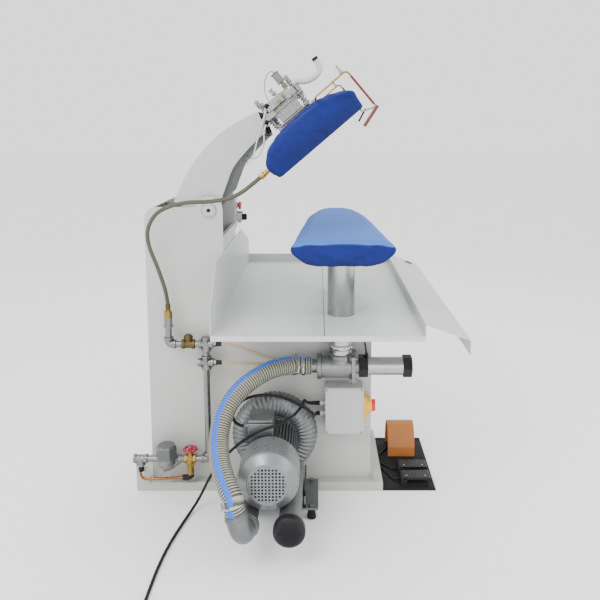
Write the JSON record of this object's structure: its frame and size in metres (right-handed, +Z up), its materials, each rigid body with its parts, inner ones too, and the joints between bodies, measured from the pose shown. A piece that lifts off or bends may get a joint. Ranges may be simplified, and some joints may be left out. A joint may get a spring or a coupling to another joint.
{
  "type": "collar and cuff press",
  "caption": "Free-standing steam press with a swinging padded head over a padded buck, a sheet table, vacuum blower, air cylinder, steam pipework and foot pedals.",
  "frame": {"origin": "centre of the base plate's underside, on the floor", "axes": "+X towards the operator and the pedals, +Y away from the side with the pipes, +Z up"},
  "size_m": [1.079, 1.582, 1.4338],
  "materials": {
    "cabinet_paint": "grey-white semi-gloss paint",
    "box_paint": "grey-white box paint",
    "table_paint": "light grey sheet paint",
    "machined_steel": "turned and ground steel",
    "pipe_steel": "dull galvanised pipe and fittings",
    "polished_steel": "polished steel tube",
    "cast_aluminium": "dark silver-grey cast and finned alloy",
    "silver_paint": "silver-grey paint",
    "brass": "plain brass",
    "black_plastic": "matt black moulding",
    "black_rubber": "black rubber",
    "blue_cloth": "blue padded pressing cloth",
    "red_enamel": "red enamel",
    "red_plastic": "red moulding",
    "yellow_plastic": "yellow moulding",
    "orange_paint": "orange-brown paint",
    "hose_plastic": "olive ribbed hose with a blue stripe",
    "steel_braid": "braided steel sleeve",
    "beige_hose": "beige hose"
  },
  "bodies": {
    "root": {"back_panel": "cabinet_paint", "base_plate": "cabinet_paint", "blower_cowl": "silver_paint", "blower_elbow": "cast_aluminium", "blower_filter": "black_plastic", "blower_housing": "cast_aluminium", "blower_motor": "cast_aluminium", "buck_pad": "blue_cloth", "buck_post": "machined_steel", "cabinet_front_panel": "cabinet_paint", "check_valve": "brass", "control_box": "box_paint", "cylinder_mount": "machined_steel", "gate_valve": "brass", "hose_clamp_blower": "polished_steel", "hose_clamp_valve": "polished_steel", "isolator_body": "yellow_plastic", "mains_cable": "black_rubber", "mains_cable_coil": "black_rubber", "mains_plug": "black_rubber", "motor_cable": "black_rubber", "pedal_board": "black_rubber", "pedal_guard": "orange_paint", "pivot_shaft": "machined_steel", "side_panel_far": "cabinet_paint", "side_panel_near": "cabinet_paint", "steam_hose": "steel_braid", "steam_riser": "pipe_steel", "steam_supply": "pipe_steel", "supply_hose_lower": "beige_hose", "supply_hose_upper": "beige_hose", "table_left_panel": "table_paint", "table_right_panel": "table_paint", "vacuum_duct": "polished_steel", "vacuum_hose": "hose_plastic", "valve_body": "machined_steel", "valve_cap": "black_plastic", "valve_cylinder": "polished_steel"},
    "arm": {"press_arm": "cabinet_paint", "arm_lever": "machined_steel", "head_bracket": "machined_steel", "head_plates": "machined_steel", "head_pad": "blue_cloth", "head_spring_left": "machined_steel", "head_spring_right": "machined_steel", "steam_valve": "silver_paint", "head_inlet": "brass"},
    "guard": {"guard_frame": "brass"},
    "cylinder": {"press_cylinder": "machined_steel"},
    "cylinder_rod": {"press_rod": "machined_steel"},
    "vacuum_piston": {"valve_piston": "machined_steel"},
    "fan": {"motor_fan": "silver_paint"},
    "pedal_front_body": {"pedal_front": "black_plastic"},
    "pedal_middle_body": {"pedal_middle": "black_plastic"},
    "pedal_guarded_body": {"pedal_guarded": "black_plastic"},
    "isolator": {"isolator_knob": "red_plastic"},
    "wheel": {"handwheel": "red_enamel"},
    "button": {"emergency_button": "red_plastic"},
    "regulator": {"regulator_knob": "black_plastic"},
    "rocker": {"rocker_switch": "red_plastic"}
  },
  "joints": [
    {"name": "arm_swing", "type": "hinge", "parent": "root", "child": "arm", "pos_m": [-0.162, 0, 0.974], "axis": [0, 1, 0], "range_deg": [0, 38.5], "stiffness_Nm_per_rad": 90, "springref_deg": -57.3, "deforming": ["steam_hose"]},
    {"name": "press_cylinder_tilt", "type": "hinge", "parent": "root", "child": "cylinder", "pos_m": [-0.297, 0, 0.42], "axis": [0, 1, 0], "range_deg": [0, 2.8]},
    {"name": "press_rod_slide", "type": "slide", "parent": "cylinder", "child": "cylinder_rod", "axis": [-0.0275, 0, 0.9996], "range_m": [0, 0.096]},
    {"name": "guard_tilt", "type": "hinge", "parent": "arm", "child": "guard", "pos_m": [0.19335, 0, 1.33215], "axis": [0, -1, 0], "range_deg": [0, 8]},
    {"name": "vacuum_piston_slide", "type": "slide", "parent": "root", "child": "vacuum_piston", "axis": [-1, 0, 0], "range_m": [0, 0.06]},
    {"name": "fan_spin", "type": "hinge", "parent": "root", "child": "fan", "pos_m": [0.057, -0.5, 0.237], "axis": [0, 1, 0], "continuous": true},
    {"name": "pedal_front_press", "type": "hinge", "parent": "root", "child": "pedal_front_body", "pos_m": [0.5, -0.147, 0.0203], "axis": [0, 1, 0], "range_deg": [0, 5], "stiffness_Nm_per_rad": 4, "springref_deg": -2.86},
    {"name": "pedal_middle_press", "type": "hinge", "parent": "root", "child": "pedal_middle_body", "pos_m": [0.5, -0.073, 0.0203], "axis": [0, 1, 0], "range_deg": [0, 5], "stiffness_Nm_per_rad": 4, "springref_deg": -2.86},
    {"name": "pedal_guarded_press", "type": "hinge", "parent": "root", "child": "pedal_guarded_body", "pos_m": [0.484, 0.089, 0.0203], "axis": [0, 1, 0], "range_deg": [0, 5], "stiffness_Nm_per_rad": 4, "springref_deg": -2.86},
    {"name": "isolator_turn", "type": "hinge", "parent": "root", "child": "isolator", "pos_m": [0.384, -0.20165, 0.3115], "axis": [1, 0, 0], "range_deg": [0, 90]},
    {"name": "handwheel_turn", "type": "hinge", "parent": "root", "child": "wheel", "pos_m": [-0.2345, -0.215, 0.15], "axis": [0, 0, 1], "range_deg": [0, 1080]},
    {"name": "emergency_button_press", "type": "slide", "parent": "root", "child": "button", "axis": [-1, 0, 0], "range_m": [0, 0.004], "stiffness_N_per_m": 800, "springref_m": -0.004},
    {"name": "regulator_turn", "type": "hinge", "parent": "root", "child": "regulator", "pos_m": [-0.0937, 0.2, 0.902], "axis": [1, 0, 0], "range_deg": [0, 270]},
    {"name": "rocker_tilt", "type": "hinge", "parent": "root", "child": "rocker", "pos_m": [0.60498, 0.55, 0.64735], "axis": [0, 1, 0], "range_deg": [-6, 6]}
  ],
  "couplings": [
    {"joint": "press_cylinder_tilt", "follows": "arm_swing", "ratio": 0.07019},
    {"joint": "press_rod_slide", "follows": "arm_swing", "m_per_rad": 0.14143}
  ]
}
